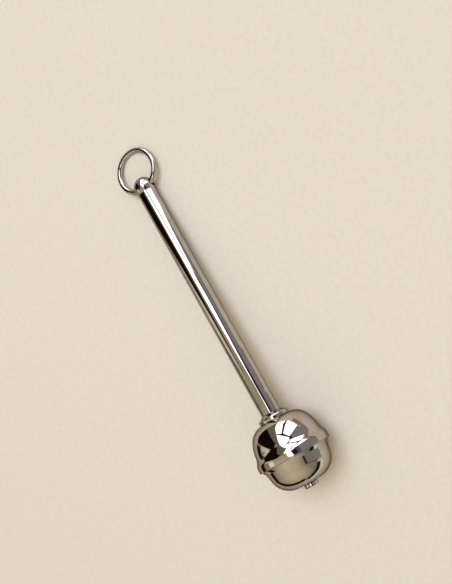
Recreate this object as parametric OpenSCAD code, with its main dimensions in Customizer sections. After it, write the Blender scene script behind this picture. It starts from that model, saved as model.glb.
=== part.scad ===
// Hand-held holy-water sprinkler, lying on a table: hanging ring, pommel, handle and a two-part head
// that holds a sponge on a tie rod. Every piece but the ring is built round one upright axis, with
// height zero in the rim band, and then laid down so that the band, the ball and the ring touch the table.

/* [Handle] */
// Outside diameter of the handle tube
tube_d = 12; // [9:0.5:16]
// Wall of the handle tube
tube_wall = 1; // [0.6:0.1:1.6]
// Length of tube seen between the collar and the pommel
tube_seen = 155.3; // [100:0.5:200]
// Depth of the collar's socket that takes the tube
socket_depth = 1.5; // [0.8:0.1:2.2]

/* [Pommel and ring] */
// Radius of the pommel's ball
ball_r = 6.6; // [5.8:0.1:9]
// Height of the ball's middle above the end of the tube
ball_lift = 4.1; // [3.4:0.1:6]
// Height of the tapered skirt under the ball
skirt_h = 2.8; // [1.6:0.1:4]
// How far the skirt's upper edge stands out past the tube
skirt_flare = 0.65; // [0.2:0.05:1.2]
// Length of the pommel's spigot inside the tube
spigot_len = 6; // [4:0.5:12]
// Middle radius of the hanging ring
ring_r = 13.5; // [11:0.25:18]
// Thickness of the ring's wire
wire_d = 3.2; // [2:0.1:4]
// Play between the wire and the cross hole
hole_play = 0.16; // [0.1:0.02:0.5]

/* [Collar] */
// Radius of the collar's foot
collar_r = 9.3; // [8.4:0.1:10.5]
// Height of the collar
collar_h = 4.1; // [3.6:0.1:6]
// Height of the foot's straight side
collar_side = 1.5; // [0.8:0.1:2]
// Rounding of the foot's upper edge
collar_round = 1.2; // [0.6:0.1:1.4]
// Thickness of the collar's upper lip round the tube
collar_lip = 0.3; // [0.2:0.05:0.6]
// Radius of the boss that centres the dome
boss_r = 4; // [3.2:0.1:5]

/* [Head] */
// Wall of the dome and of the bowl
wall = 1.2; // [0.8:0.1:1.6]
// Radius of the rim band
rim_r = 22.75; // [22:0.25:26]
// Depth of the band's lip under height zero
lip_drop = 1.75; // [1:0.05:3]
// Bore radius of the rim band
band_bore_r = 20.6; // [20:0.1:21.2]
// Height of the ledge inside the band
ledge_z = 2; // [1.6:0.1:2.4]
// Height of the flat crown of the dome
crown_z = 21.72; // [19:0.1:26]
// Largest radius of the dome above the flare
dome_r = 20.84; // [20.5:0.05:21.5]
// Height at which the dome is widest
dome_wide_z = 4.85; // [3.5:0.05:6]
// Radius of the dome's long side arc
side_arc_r = 23.87; // [21:0.1:28]
// Radius of the dome's shoulder arc
shoulder_arc_r = 10.15; // [8:0.1:12]
// Radius of the flare into the band
flare_r = 8.1; // [5:0.1:12]
// Where the flare starts on the side arc
flare_angle = 6.1; // [4:0.1:9]

/* [Bowl] */
// Radius of the bowl where its main arc is widest
bowl_r = 19.35; // [18:0.05:20]
// Radius of the bowl's main arc
bowl_arc_r = 12.4; // [9:0.1:14]
// Depth at which the bowl's main arc is widest
bowl_wide_drop = 6.45; // [5.5:0.05:8]
// Step out from the widest arc to the foot of the bevel
waist_step = 0.65; // [0.4:0.05:1]
// Height of the bevel under the bowl's shoulder
bevel_h = 2.1; // [1.5:0.1:2.6]
// Radius of the bowl's shoulder at the rim
bowl_shoulder_r = 21.45; // [21.3:0.05:21.8]
// Gap seen between the lip and the bowl's shoulder
seam_gap = 0.1; // [0.05:0.01:0.2]
// Height of the gasket between the bowl's neck and the ledge
gasket_h = 0.8; // [0.4:0.1:1.2]
// Diameter of the sprinkle holes
drip_d = 1.4; // [0.8:0.1:1.8]
// Number of holes in the inner row
inner_drips = 8; // [6:1:10]
// Number of holes in the outer row
outer_drips = 14; // [10:1:18]
// Metal between the inner row and the edge of the bowl's flat bottom
inner_row_edge = 0.4; // [0.3:0.05:0.6]
// Metal between the edge of the flat bottom and the outer row
outer_row_edge = 2.5; // [1.5:0.1:3.5]

/* [Rod, nuts and sponge] */
// Diameter of the tie rod
rod_d = 4; // [3:0.5:5]
// Solid metal between the rod's hole and the cross hole
pommel_web = 1.2; // [0.8:0.1:2]
// Radius of the crown washer
crown_washer_r = 7.5; // [6:0.1:8.4]
// Thickness of the crown washer
crown_washer_h = 1; // [0.6:0.1:1.6]
// Width across the flats of the crown nut
crown_nut_af = 7; // [6:0.5:10]
// Height of the crown nut
crown_nut_h = 3.2; // [2.4:0.1:5]
// Radius of the bottom nut's head
nut_r = 4.25; // [4:0.05:4.8]
// Height of the bottom nut's head
nut_h = 2.15; // [1.8:0.05:4]
// Radius of the bottom nut's spigot
nut_spigot_r = 2.9; // [2.8:0.05:3.2]
// Length of the bottom nut's spigot
nut_spigot_len = 4.4; // [3.6:0.1:5]
// Metal left at the closed end of the bottom nut
nut_floor = 1.4; // [1.2:0.1:1.7]
// Depth of the slot in the bottom nut
slot_depth = 0.7; // [0.4:0.1:0.9]
// Width of the slot in the bottom nut
slot_w = 1.1; // [0.8:0.1:1.6]
// Thickness of the bottom washer
bottom_washer_h = 0.4; // [0.3:0.1:0.8]
// Radius of the bottom washer
bottom_washer_r = 3.8; // [3.4:0.1:4]
// Gap between the sponge and the bowl
sponge_gap = 0.9; // [0.5:0.1:2]

/* [Fits] */
// Running clearance on a radius
play = 0.08; // [0.04:0.01:0.1]

/* [Hidden] */
$fn = 96;
far = 60;
plated = [0.76, 0.73, 0.68];
steel = [0.62, 0.62, 0.62];
tube_r = tube_d / 2;
tube_bore_r = tube_r - tube_wall;
wire_r = wire_d / 2;
rod_r = rod_d / 2;
collar_top = crown_z + collar_h;
tube_bottom = collar_top - socket_depth;
tube_top = collar_top + tube_seen;
ball_z = tube_top + ball_lift;
mouth_x = ball_r * 0.925;
inner_reach = sqrt(pow(ring_r - wire_r, 2) - pow(mouth_x, 2));
ring_off = (ring_r + wire_r + inner_reach) / 2;
hole_r = (ring_r + wire_r - inner_reach) / 2 + hole_play;
rod_hole_top = ball_z - hole_r - pommel_web;
rod_top = rod_hole_top - 0.4;
// Circles that would only touch are this much larger, so that they cross cleanly
arc_cross = 0.005;
// Dome arcs: the shoulder arc touches the side arc from inside
side_x = dome_r - side_arc_r;
shoulder_z = crown_z - shoulder_arc_r;
arc_gap = side_arc_r - shoulder_arc_r;
shoulder_x = side_x + sqrt(pow(arc_gap, 2) - pow(shoulder_z - dome_wide_z, 2));
arc_turn = atan2(shoulder_z - dome_wide_z, shoulder_x - side_x);
flare_x = side_x + (side_arc_r + flare_r) * cos(flare_angle);
flare_z = dome_wide_z + (side_arc_r + flare_r) * sin(flare_angle);
band_top = flare_z - sqrt(pow(flare_r + arc_cross, 2) - pow(flare_x - rim_r, 2));
flare_start = dome_wide_z + side_arc_r * sin(flare_angle);
// Bowl
neck_out_r = band_bore_r - play;
neck_top = ledge_z - gasket_h;
bowl_x = bowl_r - bowl_arc_r;
bowl_z = -bowl_wide_drop;
bowl_bottom = bowl_z - bowl_arc_r;
cave_r = bowl_arc_r - wall;
inner_row_r = bowl_x - drip_d / 2 - inner_row_edge;
outer_row_r = bowl_x + drip_d / 2 + outer_row_edge;
outer_row_rise = bowl_arc_r - sqrt(pow(bowl_arc_r, 2) - pow(outer_row_r + drip_d - bowl_x, 2));
shoulder_top = -lip_drop - seam_gap;
// Bevel under the shoulder, then a straight run that ends just inside the main arc
waist_r = bowl_r + waist_step;
waist_z = shoulder_top - bevel_h;
waist_gap = norm([waist_r - bowl_x, waist_z - bowl_z]);
run_end_r = bowl_arc_r - arc_cross;
run_turn = atan2(waist_z - bowl_z, waist_r - bowl_x) - acos(run_end_r / waist_gap);
run_x = bowl_x + run_end_r * cos(run_turn);
run_z = bowl_z + run_end_r * sin(run_turn);
// Nuts, rod and sponge
crown_inside = crown_z - wall;
crown_nut_top = crown_inside - crown_washer_h;
crown_nut_low = crown_nut_top - crown_nut_h;
nut_top = bowl_bottom - bottom_washer_h;
nut_low = nut_top - nut_h;
nut_bevel = 0.3;
rod_low = nut_low + nut_floor + 0.3;
sponge_r = min(bowl_r, neck_out_r) - wall - sponge_gap;
sponge_low = bowl_bottom + wall + sponge_gap;
sponge_low_round = cave_r - sponge_gap;
sponge_top_round = shoulder_arc_r - wall - sponge_gap;
sponge_side_h = crown_nut_low - sponge_low - sponge_low_round - sponge_top_round;
// Laid down on the table
rest_gap = ball_z - band_top;
rest_reach = sqrt(pow(rim_r, 2) + pow(rest_gap, 2));
tilt = acos(ball_r / rest_reach) - atan2(rest_gap, rim_r);
ring_lean = asin((ball_r - wire_r) / (ring_off + ring_r));
axis_z = ball_r + ball_z * sin(tilt);
head_end = nut_low * cos(tilt) - (nut_r - nut_bevel) * sin(tilt);
ring_end = ball_z * cos(tilt) + (ring_off + ring_r) * cos(ring_lean) + wire_r;
axis_x = -(head_end + ring_end) / 2;

// Turns the upright axis down, ring end to +X
module laid() {
    translate([axis_x, 0, axis_z])
        rotate([0, 90 + tilt, 0])
            children();
}

// Ring cut from a plate: outer and inner radius, lower and upper height
module washer_at(r_out, r_in, z_low, z_high) {
    translate([0, 0, z_low])
        difference() {
            cylinder(r = r_out, h = z_high - z_low);
            translate([0, 0, -1])
                cylinder(r = r_in, h = z_high - z_low + 2);
        }
}

// Half outline of the dome, drawn with its arcs made smaller by inset
module dome_half(inset) {
    intersection() {
        translate([side_x, dome_wide_z])
            circle(r = side_arc_r - inset);
        translate([0, -far])
            square([far, far + crown_z - inset]);
        union() {
            translate([shoulder_x, shoulder_z])
                circle(r = shoulder_arc_r - inset + arc_cross);
            polygon([
                [0, -far],
                [far, -far],
                [shoulder_x + far * cos(arc_turn), shoulder_z + far * sin(arc_turn)],
                [shoulder_x, shoulder_z],
                [shoulder_x, far],
                [0, far]
            ]);
        }
    }
}

// Half outline of the flare and the rim band
module band_half() {
    difference() {
        translate([shoulder_x, -lip_drop])
            square([rim_r - shoulder_x, flare_start + lip_drop]);
        translate([flare_x, flare_z])
            circle(r = flare_r + arc_cross);
    }
}

module upper_shell() {
    color(plated)
        laid()
            difference() {
                rotate_extrude()
                    difference() {
                        union() {
                            difference() {
                                dome_half(0);
                                translate([0, -far])
                                    square([far, far]);
                            }
                            band_half();
                        }
                        difference() {
                            dome_half(wall);
                            translate([0, -far])
                                square([far, far + ledge_z - 0.5]);
                        }
                        translate([0, -far])
                            square([band_bore_r, far + ledge_z]);
                    }
                translate([0, 0, crown_inside - 1])
                    cylinder(r = boss_r + play, h = wall + 2);
            }
}

module lower_bowl() {
    color(plated)
        laid()
            difference() {
                rotate_extrude()
                    difference() {
                        union() {
                            intersection() {
                                translate([bowl_x, bowl_z])
                                    circle(r = bowl_arc_r);
                                translate([bowl_x, -far])
                                    square([far, far + bowl_z]);
                            }
                            translate([0, bowl_bottom])
                                square([bowl_x, bowl_arc_r]);
                            polygon([
                                [0, run_z],
                                [run_x, run_z],
                                [waist_r, waist_z],
                                [bowl_shoulder_r, shoulder_top],
                                [neck_out_r, shoulder_top],
                                [neck_out_r, neck_top],
                                [0, neck_top]
                            ]);
                        }
                        polygon(concat(
                            [[0, bowl_bottom + wall]],
                            [for (a = [0 : 15 : 90]) [bowl_x + cave_r * sin(a), bowl_z - cave_r * cos(a)]],
                            [[neck_out_r - wall, shoulder_top]],
                            [[neck_out_r - wall, neck_top + 1]],
                            [[0, neck_top + 1]]
                        ));
                    }
                translate([0, 0, bowl_bottom - 1])
                    cylinder(r = nut_spigot_r + play, h = wall + 2);
                for (i = [0 : inner_drips - 1])
                    rotate([0, 0, 360 * i / inner_drips])
                        translate([inner_row_r, 0, bowl_bottom - 1])
                            cylinder(d = drip_d, h = wall + 2, $fn = 24);
                for (i = [0 : outer_drips - 1])
                    rotate([0, 0, 360 * (i + 0.5) / outer_drips])
                        translate([outer_row_r, 0, bowl_bottom - 1])
                            cylinder(d = drip_d, h = wall + outer_row_rise + 2, $fn = 24);
            }
}

module collar() {
    color(plated)
        laid()
            difference() {
                union() {
                    rotate_extrude()
                        difference() {
                            union() {
                                translate([0, crown_z])
                                    square([collar_r, collar_side]);
                                translate([collar_r - collar_round, crown_z + collar_side])
                                    circle(r = collar_round);
                                translate([0, crown_z])
                                    square([collar_r - collar_round, collar_side + collar_round]);
                                polygon([
                                    [0, crown_z],
                                    [collar_r - collar_round, crown_z],
                                    [collar_r - collar_round, crown_z + collar_side + collar_round],
                                    [tube_r + collar_lip, collar_top],
                                    [0, collar_top]
                                ]);
                            }
                            translate([0, crown_z - far])
                                square([far, far]);
                        }
                    translate([0, 0, crown_inside + play])
                        cylinder(r = boss_r, h = wall + 1);
                }
                translate([0, 0, tube_bottom])
                    cylinder(r = tube_r + play, h = socket_depth + 1);
                translate([0, 0, crown_inside - 1])
                    cylinder(r = rod_r + play, h = far);
            }
}

module handle_tube() {
    color(plated)
        laid()
            washer_at(tube_r, tube_bore_r, tube_bottom, tube_top);
}

module pommel() {
    color(plated)
        laid()
            difference() {
                union() {
                    difference() {
                        translate([0, 0, ball_z])
                            sphere(r = ball_r);
                        translate([0, 0, tube_top - far])
                            cylinder(r = 2 * ball_r, h = far);
                    }
                    translate([0, 0, tube_top])
                        cylinder(r1 = tube_r, r2 = tube_r + skirt_flare, h = skirt_h);
                    translate([0, 0, tube_top - spigot_len])
                        cylinder(r = tube_bore_r - play, h = spigot_len + 1);
                }
                translate([0, 0, ball_z])
                    rotate([90, 0, 0])
                        cylinder(r = hole_r, h = far, center = true);
                translate([0, 0, tube_top - spigot_len - 1])
                    cylinder(r = rod_r + play, h = rod_hole_top - tube_top + spigot_len + 1);
            }
}

module hanging_ring() {
    color(plated)
        translate([axis_x + ball_z * cos(tilt), 0, ball_r])
            rotate([0, ring_lean, 0])
                translate([ring_off, 0, 0])
                    rotate_extrude()
                        translate([ring_r, 0])
                            circle(r = wire_r);
}

module crown_washer() {
    color(steel)
        laid()
            washer_at(crown_washer_r, rod_r + play, crown_nut_top, crown_inside);
}

module crown_nut() {
    color(steel)
        laid()
            translate([0, 0, crown_nut_low])
                difference() {
                    cylinder(d = crown_nut_af / cos(30), h = crown_nut_h, $fn = 6);
                    translate([0, 0, -1])
                        cylinder(r = rod_r + play, h = crown_nut_h + 2);
                }
}

module tie_rod() {
    color(steel)
        laid()
            translate([0, 0, rod_low])
                cylinder(r = rod_r, h = rod_top - rod_low);
}

module rim_gasket() {
    color([0.15, 0.15, 0.15])
        laid()
            washer_at(band_bore_r - play, neck_out_r - wall, neck_top, ledge_z);
}

module sponge() {
    color([0.82, 0.68, 0.42])
        laid()
            rotate_extrude()
                difference() {
                    union() {
                        translate([0, sponge_low + sponge_low_round])
                            square([sponge_r, sponge_side_h]);
                        translate([0, sponge_low])
                            square([sponge_r - sponge_low_round, sponge_low_round + 1]);
                        translate([sponge_r - sponge_low_round, sponge_low + sponge_low_round])
                            circle(r = sponge_low_round);
                        translate([0, crown_nut_low - sponge_top_round - 1])
                            square([sponge_r - sponge_top_round, sponge_top_round + 1]);
                        translate([sponge_r - sponge_top_round, crown_nut_low - sponge_top_round])
                            circle(r = sponge_top_round);
                    }
                    translate([-far, -far])
                        square([far + rod_r + 2 * play, 2 * far]);
                    translate([0, sponge_low - far])
                        square([nut_spigot_r + sponge_gap, far + nut_spigot_len - wall]);
                }
}

module bottom_washer() {
    color([0.35, 0.22, 0.14])
        laid()
            washer_at(bottom_washer_r, nut_spigot_r + play, nut_top, bowl_bottom);
}

module bottom_nut() {
    color(plated)
        laid()
            difference() {
                union() {
                    translate([0, 0, nut_low + nut_bevel])
                        cylinder(r = nut_r, h = nut_h - nut_bevel);
                    translate([0, 0, nut_low])
                        cylinder(r1 = nut_r - nut_bevel, r2 = nut_r, h = nut_bevel);
                    translate([0, 0, nut_top - 0.5])
                        cylinder(r = nut_spigot_r, h = nut_spigot_len + 0.5);
                }
                translate([0, 0, nut_low + nut_floor])
                    cylinder(r = rod_r + play, h = far);
                translate([-far / 2, -slot_w / 2, nut_low - 1])
                    cube([far, slot_w, slot_depth + 1]);
            }
}

hanging_ring();
pommel();
handle_tube();
collar();
upper_shell();
crown_washer();
crown_nut();
tie_rod();
rim_gasket();
sponge();
lower_bowl();
bottom_washer();
bottom_nut();
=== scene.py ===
import bpy
import bmesh
import math
from mathutils import Matrix, Vector, noise


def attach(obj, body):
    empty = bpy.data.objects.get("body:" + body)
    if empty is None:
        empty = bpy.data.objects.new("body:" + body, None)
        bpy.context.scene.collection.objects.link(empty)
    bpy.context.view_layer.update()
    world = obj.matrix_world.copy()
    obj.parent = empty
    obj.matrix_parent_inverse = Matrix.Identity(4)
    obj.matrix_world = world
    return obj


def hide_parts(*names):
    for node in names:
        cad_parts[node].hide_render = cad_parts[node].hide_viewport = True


# Chromed holy-water sprinkler lying on a table. Sizes are in mm along the handle's own axis,
# with height zero in the rim band, and the axis is then laid down as the solids are.

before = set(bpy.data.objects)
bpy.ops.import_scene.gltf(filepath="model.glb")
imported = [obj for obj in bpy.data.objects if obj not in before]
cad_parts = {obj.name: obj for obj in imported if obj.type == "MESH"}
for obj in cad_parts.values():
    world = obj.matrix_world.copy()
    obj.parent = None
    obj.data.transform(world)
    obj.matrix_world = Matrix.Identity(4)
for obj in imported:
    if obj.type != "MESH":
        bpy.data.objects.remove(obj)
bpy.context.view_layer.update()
scene = bpy.context.scene
scene.view_settings.view_transform = "Standard"
print("frame: %d nodes" % len(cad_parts))

mm = 0.001   # in metres
lie = {"x": -95.0555, "z": 22.9089, "fall": 5.0515}   # middle of the rim, and the handle's fall in degrees
rimMiddle = Vector((lie["x"], 0, lie["z"]))
toMetres = Matrix.Scale(mm, 4)
layDown = toMetres @ Matrix.Translation(rimMiddle) @ Matrix.Rotation(math.radians(90 + lie["fall"]), 4, "Y")


# Small helpers for the materials
def hexToLinear(code):
    parts = [int(code[i:i + 2], 16) / 255 for i in (1, 3, 5)]
    return tuple(p / 12.92 if p <= 0.04045 else ((p + 0.055) / 1.055) ** 2.4 for p in parts) + (1.0,)


def addNode(tree, kind, inputs=None, stops=(), **settings):   # stops are a ramp's positions and colours
    node = tree.nodes.new(kind)
    for name, value in settings.items():
        setattr(node, name, value)
    for name, value in (inputs or {}).items():
        if isinstance(value, bpy.types.NodeSocket):
            tree.links.new(value, node.inputs[name])
        else:
            node.inputs[name].default_value = value
    for i, (position, code) in enumerate(stops):
        if i == len(node.color_ramp.elements):
            node.color_ramp.elements.new(position)
        node.color_ramp.elements[i].position = position
        node.color_ramp.elements[i].color = hexToLinear(code)
    return node


def perMetre(sizeInMm):   # texture scale for a feature of this size
    return 1000.0 / sizeInMm


def newMaterial(name):
    material = bpy.data.materials.new(name)
    material.use_nodes = True
    material.node_tree.nodes.clear()
    return material, material.node_tree


# Bright chromium over polished brass: a clean mirror, with a faint film from handling. Its brown edge tint
# darkens the mirror towards the outline: painted shade in the edge reflections
chrome = {"film": "#b6b0a9", "clean": "#c1bdb7", "shadedEdgeTint": "#8d7f73", "filmPatch": 9.0, "filmBlur": 0.055,
          "cleanBlur": 0.03, "ripple": 7.0, "rippleDepth": 0.2, "haze": 0.5, "hazeDepth": 0.02}
chromePlate, tree = newMaterial("chromium plate, polished")
spot = addNode(tree, "ShaderNodeTexCoord").outputs["Object"]
patches = addNode(tree, "ShaderNodeTexNoise", {
    "Vector": spot, "Scale": perMetre(chrome["filmPatch"]), "Detail": 4.0, "Roughness": 0.6})
tint = addNode(tree, "ShaderNodeValToRGB", {"Fac": patches.outputs["Fac"]},
               stops=((0.35, chrome["film"]), (0.6, chrome["clean"])))
blur = addNode(tree, "ShaderNodeMapRange", {
    "Value": patches.outputs["Fac"], "From Min": 0.35, "From Max": 0.7,
    "To Min": chrome["filmBlur"], "To Max": chrome["cleanBlur"]})
ripple = addNode(tree, "ShaderNodeTexNoise", {
    "Vector": spot, "Scale": perMetre(chrome["ripple"]), "Detail": 1.0})
wave = addNode(tree, "ShaderNodeBump", {
    "Height": ripple.outputs["Fac"], "Strength": 0.05, "Distance": chrome["rippleDepth"] * mm})
haze = addNode(tree, "ShaderNodeTexNoise", {"Vector": spot, "Scale": perMetre(chrome["haze"]), "Detail": 2.0})
grain = addNode(tree, "ShaderNodeBump", {
    "Height": haze.outputs["Fac"], "Strength": 0.02, "Distance": chrome["hazeDepth"] * mm,
    "Normal": wave.outputs["Normal"]})
shader = addNode(tree, "ShaderNodeBsdfPrincipled", {
    # the brown edge tint is painted shade: it darkens the reflections towards the outline
    "Base Color": tint.outputs["Color"], "Metallic": 1.0, "Specular Tint": hexToLinear(chrome["shadedEdgeTint"]),
    "Roughness": blur.outputs["Result"], "Normal": grain.outputs["Normal"]})
addNode(tree, "ShaderNodeOutputMaterial", {"Surface": shader.outputs["BSDF"]})

# Zinc-plated turned steel: grey and satin, with rings from the lathe, drawn coarse enough to show
steel = {"dull": "#8f9194", "bright": "#b9babb", "ringPitch": 0.25, "runPerMetre": 60.0, "ringDepth": 0.03,
         "leastBlur": 0.22, "mostBlur": 0.42}
turnedSteel, tree = newMaterial("zinc plated steel, turned")
spot = addNode(tree, "ShaderNodeTexCoord").outputs["Object"]
stretch = addNode(tree, "ShaderNodeMapping", {
    "Vector": spot, "Scale": (perMetre(steel["ringPitch"]), steel["runPerMetre"], steel["runPerMetre"])})
lathe = addNode(tree, "ShaderNodeTexNoise", {
    "Vector": stretch.outputs["Vector"], "Scale": 1.0, "Detail": 3.0})
tint = addNode(tree, "ShaderNodeValToRGB", {"Fac": lathe.outputs["Fac"]},
               stops=((0.3, steel["dull"]), (0.7, steel["bright"])))
blur = addNode(tree, "ShaderNodeMapRange", {
    "Value": lathe.outputs["Fac"], "To Min": steel["leastBlur"], "To Max": steel["mostBlur"]})
grooves = addNode(tree, "ShaderNodeBump", {
    "Height": lathe.outputs["Fac"], "Strength": 0.15, "Distance": steel["ringDepth"] * mm})
shader = addNode(tree, "ShaderNodeBsdfPrincipled", {
    "Base Color": tint.outputs["Color"], "Metallic": 1.0, "Roughness": blur.outputs["Result"],
    "Normal": grooves.outputs["Normal"]})
addNode(tree, "ShaderNodeOutputMaterial", {"Surface": shader.outputs["BSDF"]})

# Moulded nitrile rubber: near black and matt, with a dusty bloom
rubber = {"deep": "#161616", "bloom": "#2e2d2b", "grain": 0.35, "grainDepth": 0.04}
nitrile, tree = newMaterial("nitrile rubber, moulded")
spot = addNode(tree, "ShaderNodeTexCoord").outputs["Object"]
dust = addNode(tree, "ShaderNodeTexNoise", {
    "Vector": spot, "Scale": perMetre(rubber["grain"]), "Detail": 5.0})
tint = addNode(tree, "ShaderNodeValToRGB", {"Fac": dust.outputs["Fac"]},
               stops=((0.4, rubber["deep"]), (0.75, rubber["bloom"])))
skin = addNode(tree, "ShaderNodeBump", {
    "Height": dust.outputs["Fac"], "Strength": 0.25, "Distance": rubber["grainDepth"] * mm})
shader = addNode(tree, "ShaderNodeBsdfPrincipled", {
    "Base Color": tint.outputs["Color"], "Roughness": 0.62, "IOR": 1.52, "Normal": skin.outputs["Normal"]})
addNode(tree, "ShaderNodeOutputMaterial", {"Surface": shader.outputs["BSDF"]})

# Vulcanised fibre, punched from sheet: red-brown, with short flecks
fibre = {"dark": "#4a2c1c", "light": "#7a4d30", "fleck": 0.4, "fleckDepth": 0.04}
vulcanFibre, tree = newMaterial("vulcanised fibre, punched")
spot = addNode(tree, "ShaderNodeTexCoord").outputs["Object"]
flecks = addNode(tree, "ShaderNodeTexNoise", {
    "Vector": spot, "Scale": perMetre(fibre["fleck"]), "Detail": 6.0, "Distortion": 1.2})
tint = addNode(tree, "ShaderNodeValToRGB", {"Fac": flecks.outputs["Fac"]},
               stops=((0.35, fibre["dark"]), (0.7, fibre["light"])))
nap = addNode(tree, "ShaderNodeBump", {
    "Height": flecks.outputs["Fac"], "Strength": 0.4, "Distance": fibre["fleckDepth"] * mm})
shader = addNode(tree, "ShaderNodeBsdfPrincipled", {
    "Base Color": tint.outputs["Color"], "Roughness": 0.7, "Normal": nap.outputs["Normal"]})
addNode(tree, "ShaderNodeOutputMaterial", {"Surface": shader.outputs["BSDF"]})

# Cellulose sponge: straw coloured, a soft fuzzy surface. Its colour is painted darker in the open pores, as
# painted shade, and paler on the ridges between them, as painted light mixed with tone that wanders at random
foam = {"pore": "#7c5d2e", "wall": "#cfaa66", "litRidge": "#e4c88f", "cell": 1.1, "cellDepth": 0.4, "wisp": 4.0}
cellulose, tree = newMaterial("cellulose sponge, open celled")
spot = addNode(tree, "ShaderNodeTexCoord").outputs["Object"]
cells = addNode(tree, "ShaderNodeTexVoronoi", {"Vector": spot, "Scale": perMetre(foam["cell"])}, feature="F1")
wisps = addNode(tree, "ShaderNodeTexNoise", {"Vector": spot, "Scale": perMetre(foam["wisp"]), "Detail": 4.0})
poreShadeRidgeLight = addNode(tree, "ShaderNodeMath", {0: cells.outputs["Distance"], 1: wisps.outputs["Fac"]},
                operation="MULTIPLY")
# darker towards the pore middles is painted shade, paler on the ridges is painted light
tint = addNode(tree, "ShaderNodeValToRGB", {"Fac": poreShadeRidgeLight.outputs["Value"]},
               stops=((0.05, foam["pore"]), (0.16, foam["wall"]), (0.4, foam["litRidge"])))
pits = addNode(tree, "ShaderNodeBump", {
    "Height": cells.outputs["Distance"], "Strength": 0.7, "Distance": foam["cellDepth"] * mm})
shader = addNode(tree, "ShaderNodeBsdfPrincipled", {
    "Base Color": tint.outputs["Color"], "Roughness": 0.9, "Sheen Weight": 0.15,
    "Normal": pits.outputs["Normal"]})
addNode(tree, "ShaderNodeOutputMaterial", {"Surface": shader.outputs["BSDF"]})
print("materials made")


# Turning and cutting, all in mm on the upright axis
def arc(middle, radius, start, end, steps):   # points on a circle, in degrees from the outward side
    turns = [math.radians(start + (end - start) * i / steps) for i in range(steps + 1)]
    return [(middle[0] + radius * math.cos(t), middle[1] + radius * math.sin(t)) for t in turns]


def softened(points, steps=5):   # a point with a third number gets its corner rounded by that radius
    mostOfSide = 0.48   # a round takes no more of a side than this
    made = []
    for i, point in enumerate(points):
        if len(point) < 3:
            made.append(tuple(point))
            continue
        corner = Vector(point[:2])
        toBefore = Vector(points[i - 1][:2]) - corner
        toAfter = Vector(points[(i + 1) % len(points)][:2]) - corner
        u = toBefore.normalized()
        v = toAfter.normalized()
        half = u.angle(v) / 2
        back = min(point[2] / math.tan(half), mostOfSide * toBefore.length, mostOfSide * toAfter.length)
        radius = back * math.tan(half)
        middle = corner + (u + v).normalized() * (radius / math.sin(half))
        first = corner + u * back - middle
        last = corner + v * back - middle
        turn = first.angle_signed(last)
        for k in range(steps + 1):
            made.append(tuple(middle + Matrix.Rotation(-turn * k / steps, 2) @ first))
    return made


def meshFrom(name, build):
    mesh = bpy.data.meshes.new(name)
    build.to_mesh(mesh)
    build.free()
    return mesh


weldGap = 1e-6   # points closer than this become one
deadEdge = 1e-7   # edges shorter than this go


def turned(name, outline, around=160, closed=True):   # spins (radius, height) points about the upright axis
    build = bmesh.new()
    loops = []
    for k in range(around):
        t = 2 * math.pi * k / around
        loops.append([build.verts.new((r * math.cos(t), r * math.sin(t), z)) for r, z in outline])
    last = len(outline) if closed else len(outline) - 1
    for k in range(around):
        here = loops[k]
        there = loops[(k + 1) % around]
        for i in range(last):
            j = (i + 1) % len(outline)
            build.faces.new((here[i], there[i], there[j], here[j]))
    bmesh.ops.remove_doubles(build, verts=build.verts, dist=weldGap)
    bmesh.ops.dissolve_degenerate(build, edges=build.edges, dist=deadEdge)
    bmesh.ops.recalc_face_normals(build, faces=build.faces)
    return meshFrom(name, build)


def flatRing(name, plan, around):   # washer or seal with softened edges
    return turned(name, softened([(plan["bore"], plan["low"], plan["boreRound"]),
                                  (plan["radius"], plan["low"], plan["rimRound"]),
                                  (plan["radius"], plan["top"], plan["rimRound"]),
                                  (plan["bore"], plan["top"], plan["boreRound"])]), around)


def carved(mesh, cutter, operation="DIFFERENCE"):   # boolean in mm, before the piece is laid down
    body = bpy.data.objects.new("body", mesh)
    tool = bpy.data.objects.new("tool", cutter)
    scene.collection.objects.link(body)
    scene.collection.objects.link(tool)
    cut = body.modifiers.new("cut", "BOOLEAN")
    cut.operation = operation
    cut.solver = "EXACT"
    cut.object = tool
    made = bpy.data.meshes.new_from_object(body.evaluated_get(bpy.context.evaluated_depsgraph_get()))
    made.name = mesh.name
    for used in (body, tool):
        bpy.data.objects.remove(used)
    return made


crisp = math.radians(34)   # an edge that turns more than this stays crisp


def meshPiece(name, mesh, material, where=layDown):
    mesh.transform(where)
    for polygon in mesh.polygons:
        polygon.use_smooth = True
    mesh.set_sharp_from_angle(angle=crisp)
    mesh.materials.append(material)
    piece = bpy.data.objects.new(name, mesh)
    scene.collection.objects.link(piece)
    return piece


def finishPiece(piece, body, node):
    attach(piece, body)
    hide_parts(node)


# Upper half of the head: a spun dome with a flared rim band
dome = {"rimRadius": 22.75, "lip": -1.75, "bore": 20.6, "ledge": 2.0, "crown": 21.72, "wall": 1.2,
        "hole": 4.08, "sideMiddle": (-3.03, 4.85), "sideRadius": 23.87, "shoulderRadius": 10.15,
        "flareRadius": 8.1, "flareStart": 6.1, "roll": 4.5, "lipRound": 0.4, "boreRound": 0.2,
        "innerRound": 0.1, "around": 224}
shoulderZ = dome["crown"] - dome["shoulderRadius"]
shoulderRise = shoulderZ - dome["sideMiddle"][1]
shoulderOut = math.sqrt((dome["sideRadius"] - dome["shoulderRadius"]) ** 2 - shoulderRise ** 2)
shoulderMiddle = (dome["sideMiddle"][0] + shoulderOut, shoulderZ)
sideEnd = math.degrees(math.atan2(shoulderRise, shoulderMiddle[0] - dome["sideMiddle"][0]))
reach = dome["sideRadius"] + dome["flareRadius"]
flareLean = math.radians(dome["flareStart"])
flareMiddle = (dome["sideMiddle"][0] + reach * math.cos(flareLean),
               dome["sideMiddle"][1] + reach * math.sin(flareLean))
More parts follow.
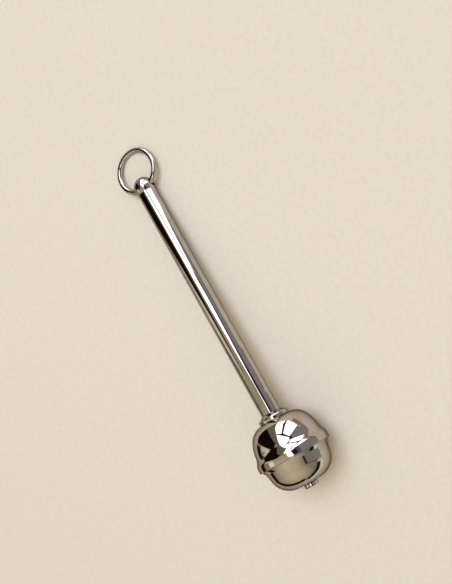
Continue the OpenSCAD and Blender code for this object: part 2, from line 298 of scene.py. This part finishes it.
rollX = dome["rimRadius"] - dome["roll"]   # a round that touches both the band and the flare
rollDrop = math.sqrt((dome["flareRadius"] + dome["roll"]) ** 2 - (flareMiddle[0] - rollX) ** 2)
rollMiddle = (rollX, flareMiddle[1] - rollDrop)
rollEnd = math.degrees(math.atan2(rollDrop, flareMiddle[0] - rollX))
innerSide = dome["sideRadius"] - dome["wall"]
innerShoulder = dome["shoulderRadius"] - dome["wall"]
ledgeTurn = math.degrees(math.asin((dome["ledge"] - dome["sideMiddle"][1]) / innerSide))
outline = softened(
    [(dome["bore"], dome["lip"], dome["boreRound"]), (dome["rimRadius"], dome["lip"], dome["lipRound"])]
    + arc(rollMiddle, dome["roll"], 0, rollEnd, steps=10)
    + arc(flareMiddle, dome["flareRadius"], 180 + rollEnd, 180 + dome["flareStart"], steps=18)[1:]
    + arc(dome["sideMiddle"], dome["sideRadius"], dome["flareStart"], sideEnd, steps=16)[1:]
    + arc(shoulderMiddle, dome["shoulderRadius"], sideEnd, 90, steps=22)[1:]
    + [(dome["hole"], dome["crown"], dome["innerRound"]),
       (dome["hole"], dome["crown"] - dome["wall"], dome["innerRound"])]
    + arc(shoulderMiddle, innerShoulder, 90, sideEnd, steps=16)
    + arc(dome["sideMiddle"], innerSide, sideEnd, ledgeTurn, steps=20)[1:]
    + [(dome["bore"], dome["ledge"], dome["innerRound"])])
upperDome = meshPiece("upperDome", turned("upperDome", outline, dome["around"]), chromePlate)
finishPiece(upperDome, "handle", "upper_shell")

# Lower half of the head: a bowl that pushes into the rim, with sprinkle holes round its bottom nut.
# A row of holes has its count, its radius and the share of a step that it is turned by
bowl = {"neck": 20.52, "neckTop": 1.2, "shoulder": 21.45, "shoulderTop": -1.85, "waist": (20.0, -3.95),
        "middle": (6.95, -6.45), "radius": 12.4, "wall": 1.2, "hole": 2.98, "around": 224,
        "boreRound": 0.15, "neckRound": 0.2, "waistRound": 0.8, "holeRound": 0.08,
        "innerRow": (8, 5.85, 0), "outerRow": (14, 10.15, 0.5), "drip": 0.7, "drillLength": 5, "drillLift": 1}
neckBore = bowl["neck"] - bowl["wall"]
away = Vector(bowl["waist"]) - Vector(bowl["middle"])
touchTurn = math.degrees(math.atan2(away.y, away.x) - math.acos(bowl["radius"] / away.length))
floorZ = bowl["middle"][1] - bowl["radius"]
outline = softened(
    [(neckBore, bowl["neckTop"], bowl["boreRound"]), (bowl["neck"], bowl["neckTop"], bowl["neckRound"]),
     (bowl["neck"], bowl["shoulderTop"]), (bowl["shoulder"], bowl["shoulderTop"], bowl["neckRound"]),
     (*bowl["waist"], bowl["waistRound"])]
    + arc(bowl["middle"], bowl["radius"], touchTurn, -90, steps=36)
    + [(bowl["hole"], floorZ, bowl["holeRound"]), (bowl["hole"], floorZ + bowl["wall"], bowl["holeRound"])]
    + arc(bowl["middle"], bowl["radius"] - bowl["wall"], -90, 0, steps=24)
    + [(neckBore, bowl["shoulderTop"])])
drills = bmesh.new()
for count, radius, shift in (bowl["innerRow"], bowl["outerRow"]):
    for k in range(count):
        t = 2 * math.pi * (k + shift) / count
        where = Matrix.Translation((radius * math.cos(t), radius * math.sin(t), floorZ + bowl["drillLift"]))
        bmesh.ops.create_cone(drills, cap_ends=True, segments=24, radius1=bowl["drip"], radius2=bowl["drip"],
                              depth=bowl["drillLength"], matrix=where)
bowlMesh = carved(turned("lowerBowl", outline, bowl["around"]), meshFrom("drills", drills))
lowerBowl = meshPiece("lowerBowl", bowlMesh, chromePlate)
finishPiece(lowerBowl, "bowl", "lower_bowl")

# Collar between the dome and the handle: a rounded foot, a slope, and a socket for the tube
collar = {"foot": 9.3, "footZ": 21.72, "footRound": 0.12, "side": 23.22, "round": 1.2, "roundEnd": 84,
          "slopeIn": 0.15, "slopeUp": 0.08, "slopeRound": 0.3, "lip": 6.3, "lipRound": 0.08, "top": 25.82,
          "socket": 6.08, "socketZ": 24.32, "socketRound": 0.05, "bore": 2.08,
          "boss": 4.0, "bossZ": 20.6, "bossRound": 0.1}
roundX = collar["foot"] - collar["round"]
roundTop = collar["side"] + collar["round"]
outline = softened(
    [(collar["boss"], collar["footZ"]), (collar["foot"], collar["footZ"], collar["footRound"])]
    + arc((roundX, collar["side"]), collar["round"], 0, collar["roundEnd"], steps=10)
    + [(roundX - collar["slopeIn"], roundTop + collar["slopeUp"], collar["slopeRound"]),
       (collar["lip"], collar["top"], collar["lipRound"]),
       (collar["socket"], collar["top"], collar["socketRound"]), (collar["socket"], collar["socketZ"]),
       (collar["bore"], collar["socketZ"]), (collar["bore"], collar["bossZ"]),
       (collar["boss"], collar["bossZ"], collar["bossRound"])])
neckCollar = meshPiece("neckCollar", turned("neckCollar", outline), chromePlate)
finishPiece(neckCollar, "handle", "collar")

# Handle tube
tube = {"radius": 6.0, "bore": 5.0, "low": 24.32, "top": 181.12, "rows": 24}
tubeRow = (tube["top"] - tube["low"]) / tube["rows"]
outline = [(tube["radius"], tube["low"] + tubeRow * i) for i in range(tube["rows"] + 1)]
outline += [(tube["bore"], tube["top"]), (tube["bore"], tube["low"])]
handleTube = meshPiece("handleTube", turned("handleTube", outline), chromePlate)
finishPiece(handleTube, "handle", "handle_tube")

# Pommel: a ball on a flared skirt, with a cross hole whose mouths are rounded
knob = {"ball": 6.6, "middle": 185.22, "skirtLow": 181.12, "skirtTop": 183.92, "skirtRadius": 6.65,
        "skirtFoot": 0.06, "skirtEdge": 0.1, "spigot": 4.92, "spigotLow": 175.12, "spigotRound": 0.2,
        "rodHole": 2.08, "rodHoleTop": 181.417, "hole": 2.603, "mouthRound": 0.44, "mouthSteps": 6,
        "mouthSink": 0.1, "drillSpare": 4, "drillCut": 3.78, "drillReach": 12, "drillAround": 96}
skirtTurn = math.degrees(math.asin((knob["skirtTop"] - knob["middle"]) / knob["ball"]))
outline = softened(
    [(0, knob["rodHoleTop"]), (knob["rodHole"], knob["rodHoleTop"]), (knob["rodHole"], knob["spigotLow"]),
     (knob["spigot"], knob["spigotLow"], knob["spigotRound"]), (knob["spigot"], knob["skirtLow"]),
     (tube["radius"], knob["skirtLow"], knob["skirtFoot"]),
     (knob["skirtRadius"], knob["skirtTop"], knob["skirtEdge"])]
    + arc((0, knob["middle"]), knob["ball"], skirtTurn, 90, steps=40))
mouth = math.sqrt(knob["ball"] ** 2 - knob["hole"] ** 2)
wideBit = knob["hole"] + knob["drillSpare"]
bit = [(0, -knob["drillReach"]), (wideBit, -knob["drillReach"]), (wideBit, -mouth - knob["drillCut"])]
for i in range(1, knob["mouthSteps"] + 1):
    t = math.pi / 2 * i / knob["mouthSteps"]
    bit.append((knob["hole"] + knob["mouthRound"] * (1 - math.sin(t)),
                -mouth + knob["mouthRound"] * (math.cos(t) - 1) + knob["mouthSink"]))
bit += [(r, -z) for r, z in reversed(bit)]
crossDrill = turned("crossDrill", bit, knob["drillAround"], closed=False)
crossDrill.transform(Matrix.Translation((0, 0, knob["middle"])) @ Matrix.Rotation(math.pi / 2, 4, "X"))
pommel = meshPiece("pommelKnob", carved(turned("pommelKnob", outline, closed=False), crossDrill), chromePlate)
finishPiece(pommel, "handle", "pommel")

# Hanging ring, lying on the table
ring = {"radius": 13.5, "wire": 1.6, "reach": 12.657, "lean": 11.02, "ballX": 89.4451, "ballZ": 6.6,
        "around": 200}
wire = [(ring["radius"] + x, z) for x, z in arc((0, 0), ring["wire"], 0, 360, steps=40)[:-1]]
ringPlace = (toMetres @ Matrix.Translation((ring["ballX"], 0, ring["ballZ"]))
             @ Matrix.Rotation(math.radians(ring["lean"]), 4, "Y")
             @ Matrix.Translation((ring["reach"], 0, 0)))
hangingRing = meshPiece("hangingRing", turned("hangingRing", wire, ring["around"]), chromePlate, ringPlace)
finishPiece(hangingRing, "ring", "hanging_ring")

# Tie rod from the pommel to the bottom nut, with a cut thread under both nuts
rod = {"radius": 2.0, "low": -19.7, "top": 181.017, "plainFrom": 21.2, "chamfer": 0.45, "pitch": 0.7,
       "depth": 0.36, "threads": ((-19.7, -6.0), (14.0, 21.0)), "rowsPerTurn": 8, "around": 40}
heights = [rod["low"] + rod["chamfer"], rod["plainFrom"], rod["top"]]
for low, high in rod["threads"]:
    rows = int((high - low) / rod["pitch"] * rod["rowsPerTurn"]) + 1
    heights += [low + rod["pitch"] / rod["rowsPerTurn"] * i for i in range(rows)]
build = bmesh.new()
loops = []
for z in sorted(heights):
    threaded = any(low <= z <= high for low, high in rod["threads"])
    loop = []
    for k in range(rod["around"]):
        t = 2 * math.pi * k / rod["around"]
        phase = ((z - rod["low"]) / rod["pitch"] - k / rod["around"]) % 1
        inset = rod["depth"] * abs(2 * phase - 1) if threaded else 0
        inset += max(0, rod["chamfer"] - (z - rod["low"]))
        r = rod["radius"] - inset
        loop.append(build.verts.new((r * math.cos(t), r * math.sin(t), z)))
    loops.append(loop)
for here, there in zip(loops, loops[1:]):
    for k in range(rod["around"]):
        j = (k + 1) % rod["around"]
        build.faces.new((here[k], here[j], there[j], there[k]))
build.faces.new(list(reversed(loops[0])))
build.faces.new(loops[-1])
tieRod = meshPiece("tieRod", meshFrom("tieRod", build), turnedSteel)
finishPiece(tieRod, "handle", "tie_rod")

# Washer and hexagon nut under the crown of the dome
washer = {"radius": 7.5, "bore": 2.08, "low": 19.52, "top": 20.52, "boreRound": 0.1, "rimRound": 0.2}
crownWasher = meshPiece("crownWasher", flatRing("crownWasher", washer, around=96), turnedSteel)
finishPiece(crownWasher, "handle", "crown_washer")

hexNut = {"flats": 7.0, "bore": 2.08, "low": 16.32, "top": 19.52, "face": 3.4, "chamfer": 0.35,
          "boreChamfer": 0.3, "spare": 0.02, "sides": 6, "around": 96}
corner = hexNut["flats"] / 2 / math.cos(math.pi / hexNut["sides"])
blank = [(0, hexNut["low"]), (corner, hexNut["low"]), (corner, hexNut["top"]), (0, hexNut["top"])]
boreMouth = hexNut["bore"] + hexNut["boreChamfer"]
chamfered = [(boreMouth, hexNut["low"]), (hexNut["face"], hexNut["low"]),
             (corner + hexNut["spare"], hexNut["low"] + hexNut["chamfer"]),
             (corner + hexNut["spare"], hexNut["top"] - hexNut["chamfer"]),
             (hexNut["face"], hexNut["top"]), (boreMouth, hexNut["top"]),
             (hexNut["bore"], hexNut["top"] - hexNut["boreChamfer"]),
             (hexNut["bore"], hexNut["low"] + hexNut["boreChamfer"])]
hexBlank = turned("crownNut", blank, hexNut["sides"], closed=False)
nutCone = turned("nutCone", chamfered, hexNut["around"])
crownNut = meshPiece("crownNut", carved(hexBlank, nutCone, "INTERSECT"), turnedSteel)
finishPiece(crownNut, "handle", "crown_nut")

# Gasket between the bowl's neck and the ledge in the rim
seal = {"radius": 20.52, "bore": 19.32, "low": 1.2, "top": 2.0, "boreRound": 0.2, "rimRound": 0.2}
rimGasket = meshPiece("rimGasket", flatRing("rimGasket", seal, around=160), nitrile)
finishPiece(rimGasket, "handle", "rim_gasket")

# Sponge on the rod. Pores and lumps are pressed in, so that it stays inside its solid
sponge = {"radius": 17.25, "low": -16.75, "top": 16.32, "lowRound": 10.3, "topRound": 8.05, "topEdge": 0.5,
          "bore": 2.2, "well": 3.8, "wellTop": -13.55, "wellRound": 0.3, "wellEdge": 0.6, "smoothPast": 0.2,
          "pore": 2.6, "poreDepth": 1.5, "poreReach": 0.52, "poreSteep": 1.6, "poreLeast": 0.45,
          "lump": 9.0, "lumpDepth": 0.5, "wander": 0.8, "wanderSize": 2.2, "seed": 5,
          "around": 300, "step": 0.42}
lowRoundMiddle = (sponge["radius"] - sponge["lowRound"], sponge["low"] + sponge["lowRound"])
topRoundMiddle = (sponge["radius"] - sponge["topRound"], sponge["top"] - sponge["topRound"])
path = softened(
    [(sponge["bore"], sponge["wellTop"]), (sponge["well"], sponge["wellTop"], sponge["wellRound"]),
     (sponge["well"], sponge["low"], sponge["wellEdge"])]
    + arc(lowRoundMiddle, sponge["lowRound"], -90, 0, steps=30)
    + arc(topRoundMiddle, sponge["topRound"], 0, 90, steps=24)
    + [(sponge["bore"], sponge["top"], sponge["topEdge"])])
outline = []
for here, there in zip(path, path[1:] + path[:1]):
    parts = max(1, round((Vector(there) - Vector(here)).length / sponge["step"]))
    outline += [tuple(Vector(here).lerp(Vector(there), i / parts)) for i in range(parts)]
spongeMesh = turned("sponge", outline, sponge["around"])
noise.seed_set(sponge["seed"])   # the same pores on every run
pressed = []
for vertex in spongeMesh.vertices:
    point = vertex.co
    wandered = point + sponge["wander"] * noise.noise_vector(point / sponge["wanderSize"])
    poreMiddle = noise.voronoi(wandered / sponge["pore"])[0][0]   # distance to the nearest pore's middle
    pore = max(0.0, 1 - poreMiddle / sponge["poreReach"])
    lump = 0.5 + 0.5 * noise.noise(point / sponge["lump"])
    poreShare = min(1, sponge["poreSteep"] * pore) * (sponge["poreLeast"] + (1 - sponge["poreLeast"]) * lump)
    deep = sponge["poreDepth"] * poreShare + sponge["lumpDepth"] * lump
    inBore = math.hypot(point.x, point.y) < sponge["well"] + sponge["smoothPast"]
    pressed.append(point - vertex.normal * (0 if inBore else deep))
for vertex, point in zip(spongeMesh.vertices, pressed):
    vertex.co = point
spongePiece = meshPiece("spongePad", spongeMesh, cellulose)
finishPiece(spongePiece, "handle", "sponge")

# Bottom nut with a slot for a coin, and its washer
nut = {"radius": 4.25, "low": -21.4, "bevel": 0.35, "top": -19.25, "topRound": 0.12, "spigot": 2.9,
       "spigotTop": -14.85, "spigotRound": 0.25, "bore": 2.08, "boreRound": 0.15, "floor": -20.0,
       "slotWidth": 1.1, "slotDepth": 0.7, "slotLength": 12, "around": 112}
outline = softened(
    [(0, nut["low"]), (nut["radius"], nut["low"], nut["bevel"]), (nut["radius"], nut["top"], nut["topRound"]),
     (nut["spigot"], nut["top"]), (nut["spigot"], nut["spigotTop"], nut["spigotRound"]),
     (nut["bore"], nut["spigotTop"], nut["boreRound"]), (nut["bore"], nut["floor"]), (0, nut["floor"])])
slotBlock = Matrix.Diagonal((nut["slotLength"], nut["slotWidth"], 2 * nut["slotDepth"], 1))
slotCut = bmesh.new()
bmesh.ops.create_cube(slotCut, size=1, matrix=Matrix.Translation((0, 0, nut["low"])) @ slotBlock)
nutBlank = turned("bottomNut", outline, nut["around"], closed=False)
bottomNut = meshPiece("bottomNut", carved(nutBlank, meshFrom("slotCut", slotCut)), chromePlate)
finishPiece(bottomNut, "nut", "bottom_nut")

pad = {"radius": 3.8, "bore": 2.98, "low": -19.25, "top": -18.85, "boreRound": 0.05, "rimRound": 0.1}
bottomWasher = meshPiece("bottomWasher", flatRing("bottomWasher", pad, around=80), vulcanFibre)
finishPiece(bottomWasher, "nut_washer", "bottom_washer")

# Matt melamine board under the sprinkler: pale and warm, with a faint print of pulp
table = {"pale": "#e9e0d5", "deep": "#e4dacf", "pulp": 3.0, "metresWide": 6.0}
tableBoard, tree = newMaterial("melamine table top, matt")
spot = addNode(tree, "ShaderNodeTexCoord").outputs["Object"]
pulp = addNode(tree, "ShaderNodeTexNoise", {"Vector": spot, "Scale": perMetre(table["pulp"]), "Detail": 4.0})
tint = addNode(tree, "ShaderNodeValToRGB", {"Fac": pulp.outputs["Fac"]},
               stops=((0.3, table["deep"]), (0.7, table["pale"])))
shader = addNode(tree, "ShaderNodeBsdfPrincipled", {
    "Base Color": tint.outputs["Color"], "Roughness": 0.85, "Specular IOR Level": 0.0})
addNode(tree, "ShaderNodeOutputMaterial", {"Surface": shader.outputs["BSDF"]})
build = bmesh.new()
bmesh.ops.create_grid(build, x_segments=1, y_segments=1, size=table["metresWide"] / 2)
tableMesh = meshFrom("tableTop", build)
tableMesh.materials.append(tableBoard)
tableTop = bpy.data.objects.new("tableTop", tableMesh)
scene.collection.objects.link(tableTop)

# Camera as in the photo: looking steeply down, with the handle running up to the left.
# Distances are in mm from the middle of the rim, angles in degrees
view = {"tip": 26.2, "swing": 12.47, "bank": 29.68, "distance": 460.1, "side": 12.3, "lens": 48.33,
        "shift": (-0.0006, -0.0013), "sensor": 36, "nearest": 10}
fall = math.radians(lie["fall"])
tip = math.radians(view["tip"])
swing = math.radians(view["swing"])
bank = math.radians(view["bank"])
along = Vector((math.cos(fall), 0, -math.sin(fall)))
lift = Vector((math.sin(fall), 0, math.cos(fall)))
front = Vector((0, -1, 0))
across = math.cos(tip) * front - math.sin(tip) * lift
toward = math.sin(tip) * front + math.cos(tip) * lift
eye = rimMiddle + view["distance"] * toward + view["side"] * across
sight = -math.cos(swing) * toward + math.sin(swing) * along
level = math.cos(swing) * along + math.sin(swing) * toward
right = math.cos(bank) * across - math.sin(bank) * level
upward = math.sin(bank) * across + math.cos(bank) * level
cameraData = bpy.data.cameras.new("camera")
cameraData.lens = view["lens"]
cameraData.sensor_width = view["sensor"]
cameraData.shift_x, cameraData.shift_y = view["shift"]
cameraData.clip_start = view["nearest"] * mm
camera = bpy.data.objects.new("camera", cameraData)
scene.collection.objects.link(camera)
camera.matrix_world = Matrix.Translation(eye * mm) @ Matrix((right, upward, -sight)).transposed().to_4x4()
scene.camera = camera

# Soft light from all round: beige above, browner towards the horizon, brightest beyond the bowl
air = {"low": "#a3977f", "middle": "#b5a88f", "high": "#c3b89f", "brightSide": (-0.664, 0.242, 0.707),
       "brightFrom": 0.55, "plainLevel": 0.84, "brightLevel": 1.7}
softAir = bpy.data.worlds.new("softAir")
scene.world = softAir
softAir.use_nodes = True
tree = softAir.node_tree
tree.nodes.clear()
direction = addNode(tree, "ShaderNodeTexCoord").outputs["Generated"]
height = addNode(tree, "ShaderNodeSeparateXYZ", {"Vector": direction})
sky = addNode(tree, "ShaderNodeValToRGB", {"Fac": height.outputs["Z"]},
              stops=((0.0, air["low"]), (0.3, air["middle"]), (0.9, air["high"])))
facing = addNode(tree, "ShaderNodeVectorMath", {0: direction, 1: air["brightSide"]}, operation="DOT_PRODUCT")
swell = addNode(tree, "ShaderNodeMapRange", {
    "Value": facing.outputs["Value"], "From Min": air["brightFrom"], "From Max": 1.0,
    "To Min": air["plainLevel"], "To Max": air["brightLevel"]})
backdrop = addNode(tree, "ShaderNodeBackground", {
    "Color": sky.outputs["Color"], "Strength": swell.outputs["Result"]})
addNode(tree, "ShaderNodeOutputWorld", {"Surface": backdrop.outputs["Background"]})

# One large soft lamp, high on the ring's side of the camera. The plate shows the cards below instead of it.
# Here and in the cards a turn is in degrees from the front towards the ring, a rise is in degrees above
# the table, and both are seen from the head, with distances in metres
headSpot = rimMiddle * mm
lamp = {"turn": 58, "rise": 70, "far": 2.6, "size": 1.6, "power": 44, "tone": "#e8f0ff"}
lampTurn = math.radians(lamp["turn"])
lampRise = math.radians(lamp["rise"])
lampWay = Vector((math.sin(lampTurn) * math.cos(lampRise), -math.cos(lampTurn) * math.cos(lampRise),
                  math.sin(lampRise)))
lampData = bpy.data.lights.new("softLamp", "AREA")
lampData.size = lamp["size"]
lampData.energy = lamp["power"]
lampData.color = hexToLinear(lamp["tone"])[:3]
softLamp = bpy.data.objects.new("softLamp", lampData)
lampSpot = headSpot + lampWay * lamp["far"]
softLamp.matrix_world = Matrix.LocRotScale(lampSpot, lampWay.to_track_quat("Z", "Y"), None)
softLamp.visible_camera = False
softLamp.visible_glossy = False
scene.collection.objects.link(softLamp)

# Upright glowing sheets round the head, which light nothing and which only the plate's mirror shows: painted
# reflections of panes, boards and flags
cards = {
    "leftPane": {"turns": (64, 86), "rises": (-2, 43.5), "far": 0.8, "tone": "#fbf8ff", "glow": 3.4},
    "rightPane": {"turns": (31, 58), "rises": (-2, 42.5), "far": 0.8, "tone": "#fbf8ff", "glow": 3.4},
    "topPane": {"turns": (30, 86), "rises": (49, 72), "far": 0.8, "tone": "#fbf8ff", "glow": 3.4},
    "barBoard": {"turns": (29, 87), "rises": (-2, 73), "far": 0.82, "tone": "#5c2236", "glow": 1.0},
    "oliveBoard": {"turns": (87, 111), "rises": (-2, 72), "far": 0.85, "tone": "#847e6a", "glow": 1.0},
    "flagEdge": {"turns": (110, 152), "rises": (-2, 65), "far": 0.87, "tone": "#4c1d18", "glow": 1.0},
    "blackFlag": {"turns": (113, 149), "rises": (-2, 61), "far": 0.85, "tone": "#16120e", "glow": 1.0},
    "paleStrip": {"turns": (152, 164), "rises": (16, 46), "far": 0.85, "tone": "#d8d2bb", "glow": 1.3},
    "greyBoard": {"turns": (-24, 29), "rises": (-2, 40), "far": 0.86, "tone": "#9a9997", "glow": 1.0},
    "violetBoard": {"turns": (-12, 29), "rises": (40, 50), "far": 0.86, "tone": "#6e6580", "glow": 1.0},
    "blueBoard": {"turns": (-12, 29), "rises": (50, 66), "far": 0.86, "tone": "#2e2742", "glow": 1.0},
    "bluePatch": {"turns": (25, 33), "rises": (37, 46), "far": 0.78, "tone": "#2f3048", "glow": 1.0},
    "overheadCard": {"turns": (-12, 42), "rises": (66, 82), "far": 0.2, "tone": "#fffaf6", "glow": 2.4},
    "greyWing": {"turns": (-24, -12), "rises": (40, 47), "far": 0.86, "tone": "#8f8d8a", "glow": 1.0},
    "greyBoardTop": {"turns": (-26.5, -12), "rises": (47, 50.5), "far": 0.86, "tone": "#3b2118", "glow": 1.0},
    "greyBoardEdge": {"turns": (-26.5, -24), "rises": (-2, 58), "far": 0.86, "tone": "#3b2118", "glow": 1.0},
    # grey and pink-brown sheets close to the head, down to the table: painted reflections in place of the
    # pale floor that lies there
    "greyFloorReflection": {"turns": (-25, 27), "rises": (-15, 8), "far": 0.085, "tone": "#9a9997", "glow": 1.0},
    "pinkFloorReflection": {"turns": (27, 48), "rises": (-12, 1), "far": 0.1, "tone": "#b08573", "glow": 1.2},
    # white sheets low and close by the head: a painted highlight in the head's mirror
    "highlightSheetFront": {"turns": (-66, -34), "rises": (-15, -8), "far": 0.085, "tone": "#f0eee8", "glow": 1.2},
    "highlightSheetSide": {"turns": (-92, -64), "rises": (-12.5, -7), "far": 0.1, "tone": "#f0eee8", "glow": 1.2},
    # dark brown sheets at table level round the head: painted shade, darkening the table as the head reflects
    # it
    "shadeSheetFront": {"turns": (-96, -36), "rises": (-9, 5), "far": 0.14, "tone": "#2a2118", "glow": 1.0},
    "shadeSheetBack": {"turns": (-162, -96), "rises": (-5, 12), "far": 0.3, "tone": "#2a2118", "glow": 1.0},
    "shadeSheetSide": {"turns": (155, 198), "rises": (-5, 14), "far": 0.3, "tone": "#2a1c16", "glow": 1.0},
    "whiteBoard": {"turns": (170, 184), "rises": (33, 50), "far": 0.85, "tone": "#f0e9d2", "glow": 1.4}}
cardFoot = 0.002   # lowest that a card's edge comes to the table
for name, card in cards.items():
    far = card["far"]
    turn = math.radians(sum(card["turns"]) / 2)
    out = Vector((math.sin(turn), -math.cos(turn), 0))
    halfWide = far * math.tan(math.radians(card["turns"][1] - card["turns"][0]) / 2)
    low, high = (max(cardFoot, headSpot.z + far * math.tan(math.radians(rise))) for rise in card["rises"])
    halfTall = (high - low) / 2
    middle = headSpot + out * far
    middle.z = (low + high) / 2
    paintedReflection, tree = newMaterial("painted reflection card, " + name)
    # a glowing sheet that gives no light to anything: a painted reflection
    glow = addNode(tree, "ShaderNodeEmission", {"Color": hexToLinear(card["tone"]), "Strength": card["glow"]})
    addNode(tree, "ShaderNodeOutputMaterial", {"Surface": glow.outputs["Emission"]})
    cardMesh = bpy.data.meshes.new("card_" + name)
    cardMesh.from_pydata([(-halfWide, -halfTall, 0), (halfWide, -halfTall, 0),
                          (halfWide, halfTall, 0), (-halfWide, halfTall, 0)], [], [(0, 1, 2, 3)])
    cardMesh.materials.append(paintedReflection)
    cardPiece = bpy.data.objects.new("card_" + name, cardMesh)
    cardPiece.matrix_world = Matrix.LocRotScale(middle, (-out).to_track_quat("-Z", "Y"), None)
    # seen by neither the camera, nor diffuse light, nor shadows: the sheet only paints reflections
    cardPiece.visible_camera = False
    cardPiece.visible_diffuse = False
    cardPiece.visible_shadow = False
    scene.collection.objects.link(cardPiece)
print("table, camera and lights set")
